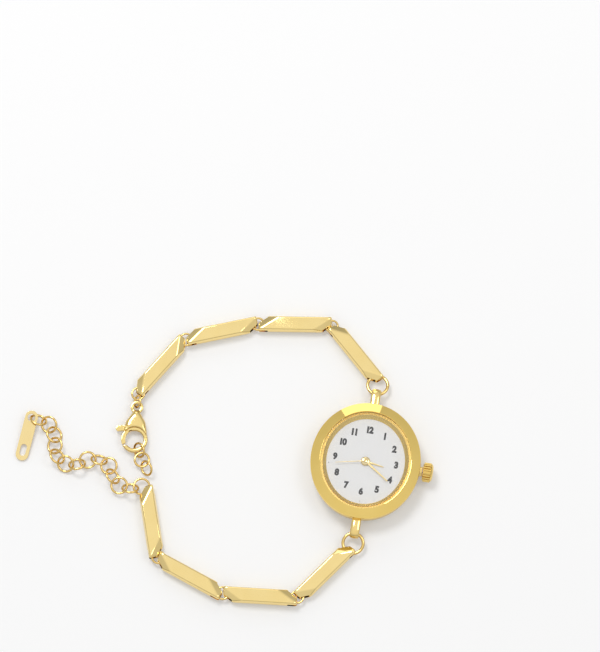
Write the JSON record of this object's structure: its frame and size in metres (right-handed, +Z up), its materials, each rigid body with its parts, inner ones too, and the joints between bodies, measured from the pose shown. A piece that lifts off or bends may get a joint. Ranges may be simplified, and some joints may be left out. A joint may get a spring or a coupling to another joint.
{
  "type": "bracelet watch",
  "caption": "Small, slightly oval analogue watch head on a bracelet of faceted bars joined by rings, with a lobster clasp, an extension chain of round rings and an end tag.",
  "frame": {"origin": "centre of the case back's outer face, on the surface that the watch lies on, as laid out in the picture", "axes": "+Z up out of the dial; +Y towards the top of the layout, with 12 o'clock leaning 8.8 degrees from it; +X from the chain's end towards the crown"},
  "size_m": [0.0913, 0.065, 0.0058],
  "materials": {
    "polished_gold": "gold-coloured plating, polished",
    "hand_gold": "pale gold-coloured, polished",
    "case_back_steel": "brushed",
    "crystal_glass": "clear, polished",
    "dial_white": "satin white lacquer",
    "movement_plastic": "matt",
    "movement_metal": "nickel-plated, satin",
    "wheel_brass": "satin",
    "steel": "satin"
  },
  "bodies": {
    "case": {"case_middle": "polished_gold", "case_back": "case_back_steel", "bezel": "polished_gold", "crystal": "crystal_glass", "inner_ring": "polished_gold", "dial": "dial_white", "movement_holder": "movement_plastic", "movement_plate": "movement_metal", "battery": "steel"},
    "hour": {"hour_hand": "hand_gold", "hour_wheel": "wheel_brass"},
    "minute": {"minute_hand": "hand_gold", "cannon_pinion": "wheel_brass"},
    "idler": {"minute_wheel": "wheel_brass"},
    "second": {"second_hand": "hand_gold"},
    "setting": {"setting_lever": "steel"},
    "crown": {"crown": "polished_gold", "setting_stem": "steel"},
    "jump_ring_12": {"jump_ring_12": "polished_gold"},
    "bar_top_1": {"bar_top_1": "polished_gold"},
    "link_ring_top_1": {"link_ring_top_1": "polished_gold"},
    "bar_top_2": {"bar_top_2": "polished_gold"},
    "link_ring_top_2": {"link_ring_top_2": "polished_gold"},
    "bar_top_3": {"bar_top_3": "polished_gold"},
    "link_ring_top_3": {"link_ring_top_3": "polished_gold"},
    "bar_top_4": {"bar_top_4": "polished_gold"},
    "jump_ring_6": {"jump_ring_6": "polished_gold"},
    "bar_bottom_1": {"bar_bottom_1": "polished_gold"},
    "link_ring_bottom_1": {"link_ring_bottom_1": "polished_gold"},
    "bar_bottom_2": {"bar_bottom_2": "polished_gold"},
    "link_ring_bottom_2": {"link_ring_bottom_2": "polished_gold"},
    "bar_bottom_3": {"bar_bottom_3": "polished_gold"},
    "link_ring_bottom_3": {"link_ring_bottom_3": "polished_gold"},
    "bar_bottom_4": {"bar_bottom_4": "polished_gold"},
    "clasp_end_ring": {"clasp_end_ring": "polished_gold"},
    "clasp_ring": {"clasp_ring": "polished_gold"},
    "clasp": {"clasp_body": "polished_gold", "clasp_rivet": "polished_gold", "clasp_spring": "steel"},
    "clasp_lever": {"clasp_lever": "polished_gold"},
    "hooked_ring_1": {"hooked_ring_1": "polished_gold"},
    "hooked_ring_2": {"hooked_ring_2": "polished_gold"},
    "hooked_ring_3": {"hooked_ring_3": "polished_gold"},
    "chain_ring_01": {"chain_ring_01": "polished_gold"},
    "chain_ring_02": {"chain_ring_02": "polished_gold"},
    "chain_ring_03": {"chain_ring_03": "polished_gold"},
    "chain_ring_04": {"chain_ring_04": "polished_gold"},
    "chain_ring_05": {"chain_ring_05": "polished_gold"},
    "chain_ring_06": {"chain_ring_06": "polished_gold"},
    "chain_ring_07": {"chain_ring_07": "polished_gold"},
    "chain_ring_08": {"chain_ring_08": "polished_gold"},
    "chain_ring_09": {"chain_ring_09": "polished_gold"},
    "chain_ring_10": {"chain_ring_10": "polished_gold"},
    "chain_ring_11": {"chain_ring_11": "polished_gold"},
    "chain_ring_12": {"chain_ring_12": "polished_gold"},
    "chain_ring_13": {"chain_ring_13": "polished_gold"},
    "chain_ring_14": {"chain_ring_14": "polished_gold"},
    "end_tag": {"end_tag": "polished_gold"}
  },
  "joints": [
    {"name": "minute_turn", "type": "hinge", "parent": "case", "child": "minute", "pos_m": [0, 0, 0.00439], "axis": [0, 0, -1], "continuous": true},
    {"name": "hour_turn", "type": "hinge", "parent": "case", "child": "hour", "pos_m": [0, 0, 0.00415], "axis": [0, 0, -1], "continuous": true},
    {"name": "idler_turn", "type": "hinge", "parent": "case", "child": "idler", "pos_m": [-0.0014, 0.00113, 0.00325], "axis": [0, 0, -1], "continuous": true},
    {"name": "second_turn", "type": "hinge", "parent": "case", "child": "second", "pos_m": [0, 0, 0.00462], "axis": [0, 0, -1], "continuous": true},
    {"name": "crown_pull", "type": "slide", "parent": "case", "child": "setting", "axis": [0.9882, -0.153, 0], "range_m": [0, 0.0008]},
    {"name": "crown_turn", "type": "hinge", "parent": "setting", "child": "crown", "pos_m": [0.01245, -0.00193, 0.00235], "axis": [0.9882, -0.153, 0], "continuous": true},
    {"name": "jump_ring_12_swing", "type": "hinge", "parent": "case", "child": "jump_ring_12", "pos_m": [0.00239, 0.01542, 0.002], "axis": [0.9882, -0.153, 0], "range_deg": [-30, 30]},
    {"name": "bar_top_1_swing", "type": "hinge", "parent": "jump_ring_12", "child": "bar_top_1", "pos_m": [0.00248, 0.01919, 0.0013], "axis": [0, 0, -1], "range_deg": [0, 20]},
    {"name": "link_ring_top_1_swing", "type": "hinge", "parent": "bar_top_1", "child": "link_ring_top_1", "pos_m": [-0.0066, 0.03081, 0.0013], "axis": [0, 0, -1], "range_deg": [0, 40]},
    {"name": "bar_top_2_fold", "type": "hinge", "parent": "link_ring_top_1", "child": "bar_top_2", "pos_m": [-0.00794, 0.03148, 0.0013], "axis": [-0.0175, -0.9998, 0], "range_deg": [-8, 8]},
    {"name": "link_ring_top_2_swing", "type": "hinge", "parent": "bar_top_2", "child": "link_ring_top_2", "pos_m": [-0.02269, 0.03174, 0.0013], "axis": [0, 0, -1], "range_deg": [0, 40]},
    {"name": "bar_top_3_fold", "type": "hinge", "parent": "link_ring_top_2", "child": "bar_top_3", "pos_m": [-0.02418, 0.03159, 0.0013], "axis": [0.2079, -0.9781, 0], "range_deg": [-8, 8]},
    {"name": "link_ring_top_3_swing", "type": "hinge", "parent": "bar_top_3", "child": "link_ring_top_3", "pos_m": [-0.03861, 0.02853, 0.0013], "axis": [0, 0, -1], "range_deg": [0, 40]},
    {"name": "bar_top_4_fold", "type": "hinge", "parent": "link_ring_top_3", "child": "bar_top_4", "pos_m": [-0.0399, 0.02776, 0.0013], "axis": [0.7547, -0.6561, 0], "range_deg": [-8, 8]},
    {"name": "jump_ring_6_swing", "type": "hinge", "parent": "case", "child": "jump_ring_6", "pos_m": [-0.00239, -0.01542, 0.002], "axis": [-0.9882, 0.153, 0], "range_deg": [-30, 30]},
    {"name": "bar_bottom_1_swing", "type": "hinge", "parent": "jump_ring_6", "child": "bar_bottom_1", "pos_m": [-0.00373, -0.01884, 0.0013], "axis": [0, 0, 1], "range_deg": [0, 20]},
    {"name": "link_ring_bottom_1_swing", "type": "hinge", "parent": "bar_bottom_1", "child": "link_ring_bottom_1", "pos_m": [-0.01416, -0.02927, 0.0013], "axis": [0, 0, 1], "range_deg": [0, 40]},
    {"name": "bar_bottom_2_fold", "type": "hinge", "parent": "link_ring_bottom_1", "child": "bar_bottom_2", "pos_m": [-0.01556, -0.0298, 0.0013], "axis": [0.061, 0.9981, 0], "range_deg": [-8, 8]},
    {"name": "link_ring_bottom_2_swing", "type": "hinge", "parent": "bar_bottom_2", "child": "link_ring_bottom_2", "pos_m": [-0.03028, -0.0289, 0.0013], "axis": [0, 0, 1], "range_deg": [0, 40]},
    {"name": "bar_bottom_3_fold", "type": "hinge", "parent": "link_ring_bottom_2", "child": "bar_bottom_3", "pos_m": [-0.03172, -0.02848, 0.0013], "axis": [0.4848, 0.8746, 0], "range_deg": [-8, 8]},
    {"name": "link_ring_bottom_3_swing", "type": "hinge", "parent": "bar_bottom_3", "child": "link_ring_bottom_3", "pos_m": [-0.04462, -0.02133, 0.0013], "axis": [0, 0, 1], "range_deg": [0, 40]},
    {"name": "bar_bottom_4_fold", "type": "hinge", "parent": "link_ring_bottom_3", "child": "bar_bottom_4", "pos_m": [-0.04548, -0.0201, 0.0013], "axis": [0.9877, 0.1564, 0], "range_deg": [-8, 8]},
    {"name": "clasp_end_ring_swing", "type": "hinge", "parent": "bar_top_4", "child": "clasp_end_ring", "pos_m": [-0.04958, 0.01663, 0.0013], "axis": [0, 0, 1], "range_deg": [-6, 6]},
    {"name": "clasp_ring_swing", "type": "hinge", "parent": "clasp_end_ring", "child": "clasp_ring", "pos_m": [-0.04975, 0.01502, 0.0013], "axis": [0.9976, -0.0698, 0], "range_deg": [-12, 12]},
    {"name": "clasp_swing", "type": "hinge", "parent": "clasp_ring", "child": "clasp", "pos_m": [-0.04985, 0.01347, 0.0013], "axis": [0, 0, 1], "range_deg": [-12, 12]},
    {"name": "clasp_lever_turn", "type": "hinge", "parent": "clasp", "child": "clasp_lever", "pos_m": [-0.05208, 0.00819, 0.0013], "axis": [0, 0, 1], "range_deg": [0, 25]},
    {"name": "hooked_ring_1_swing", "type": "hinge", "parent": "clasp", "child": "hooked_ring_1", "pos_m": [-0.04941, 0.00328, 0.0013], "axis": [0.9135, 0.4067, 0], "range_deg": [-10, 10]},
    {"name": "hooked_ring_2_swing", "type": "hinge", "parent": "hooked_ring_1", "child": "hooked_ring_2", "pos_m": [-0.04905, 0.00209, 0.0013], "axis": [0, 0, 1], "range_deg": [-10, 10]},
    {"name": "hooked_ring_3_swing", "type": "hinge", "parent": "hooked_ring_2", "child": "hooked_ring_3", "pos_m": [-0.04824, 0.00008, 0.0013], "axis": [0.8829, 0.4695, 0], "range_deg": [-10, 10]},
    {"name": "chain_ring_01_swing", "type": "hinge", "parent": "bar_bottom_4", "child": "chain_ring_01", "pos_m": [-0.04779, -0.00553, 0.0013], "axis": [0, 0, 1], "range_deg": [-10, 10]},
    {"name": "chain_ring_02_swing", "type": "hinge", "parent": "chain_ring_01", "child": "chain_ring_02", "pos_m": [-0.04999, -0.00519, 0.0014], "axis": [-0.1736, 0.9848, 0], "range_deg": [-8, 8]},
    {"name": "chain_ring_03_swing", "type": "hinge", "parent": "chain_ring_02", "child": "chain_ring_03", "pos_m": [-0.05243, -0.00508, 0.00149], "axis": [0, 0, 1], "range_deg": [-8, 8]},
    {"name": "chain_ring_04_swing", "type": "hinge", "parent": "chain_ring_03", "child": "chain_ring_04", "pos_m": [-0.05436, -0.00373, 0.00149], "axis": [-0.8192, -0.5736, 0], "range_deg": [-8, 8]},
    {"name": "chain_ring_05_swing", "type": "hinge", "parent": "chain_ring_04", "child": "chain_ring_05", "pos_m": [-0.0555, -0.00154, 0.00149], "axis": [0, 0, -1], "range_deg": [-8, 8]},
    {"name": "chain_ring_06_swing", "type": "hinge", "parent": "chain_ring_05", "child": "chain_ring_06", "pos_m": [-0.05699, 0.0003, 0.00149], "axis": [0.5299, 0.848, 0], "range_deg": [-8, 8]},
    {"name": "chain_ring_07_swing", "type": "hinge", "parent": "chain_ring_06", "child": "chain_ring_07", "pos_m": [-0.0593, 0.00096, 0.00146], "axis": [0, 0, 1], "range_deg": [-8, 8]},
    {"name": "chain_ring_08_swing", "type": "hinge", "parent": "chain_ring_07", "child": "chain_ring_08", "pos_m": [-0.06171, 0.00049, 0.00139], "axis": [0.3746, -0.9272, 0], "range_deg": [-8, 8]},
    {"name": "chain_ring_09_swing", "type": "hinge", "parent": "chain_ring_08", "child": "chain_ring_09", "pos_m": [-0.06412, 0.00007, 0.00136], "axis": [0, 0, -1], "range_deg": [-8, 8]},
    {"name": "chain_ring_10_swing", "type": "hinge", "parent": "chain_ring_09", "child": "chain_ring_10", "pos_m": [-0.06629, 0.00095, 0.00136], "axis": [0.6691, 0.7431, 0], "range_deg": [-8, 8]},
    {"name": "chain_ring_11_swing", "type": "hinge", "parent": "chain_ring_10", "child": "chain_ring_11", "pos_m": [-0.06748, 0.00301, 0.0013], "axis": [0, 0, 1], "range_deg": [-8, 8]},
    {"name": "chain_ring_12_swing", "type": "hinge", "parent": "chain_ring_11", "child": "chain_ring_12", "pos_m": [-0.06783, 0.00548, 0.00117], "axis": [-0.9976, -0.0698, 0], "range_deg": [-8, 8]},
    {"name": "chain_ring_13_swing", "type": "hinge", "parent": "chain_ring_12", "child": "chain_ring_13", "pos_m": [-0.0685, 0.00783, 0.0012], "axis": [0, 0, -1], "range_deg": [-8, 8]},
    {"name": "chain_ring_14_swing", "type": "hinge", "parent": "chain_ring_13", "child": "chain_ring_14", "pos_m": [-0.07023, 0.00944, 0.00136], "axis": [0.4067, 0.9135, 0], "range_deg": [-8, 8]},
    {"name": "end_tag_swing", "type": "hinge", "parent": "chain_ring_14", "child": "end_tag", "pos_m": [-0.07254, 0.01037, 0.00135], "axis": [0, 0, 1], "range_deg": [-10, 10]}
  ],
  "couplings": [
    {"joint": "hour_turn", "follows": "minute_turn", "ratio": 0.083333},
    {"joint": "idler_turn", "follows": "minute_turn", "ratio": -0.33333}
  ]
}
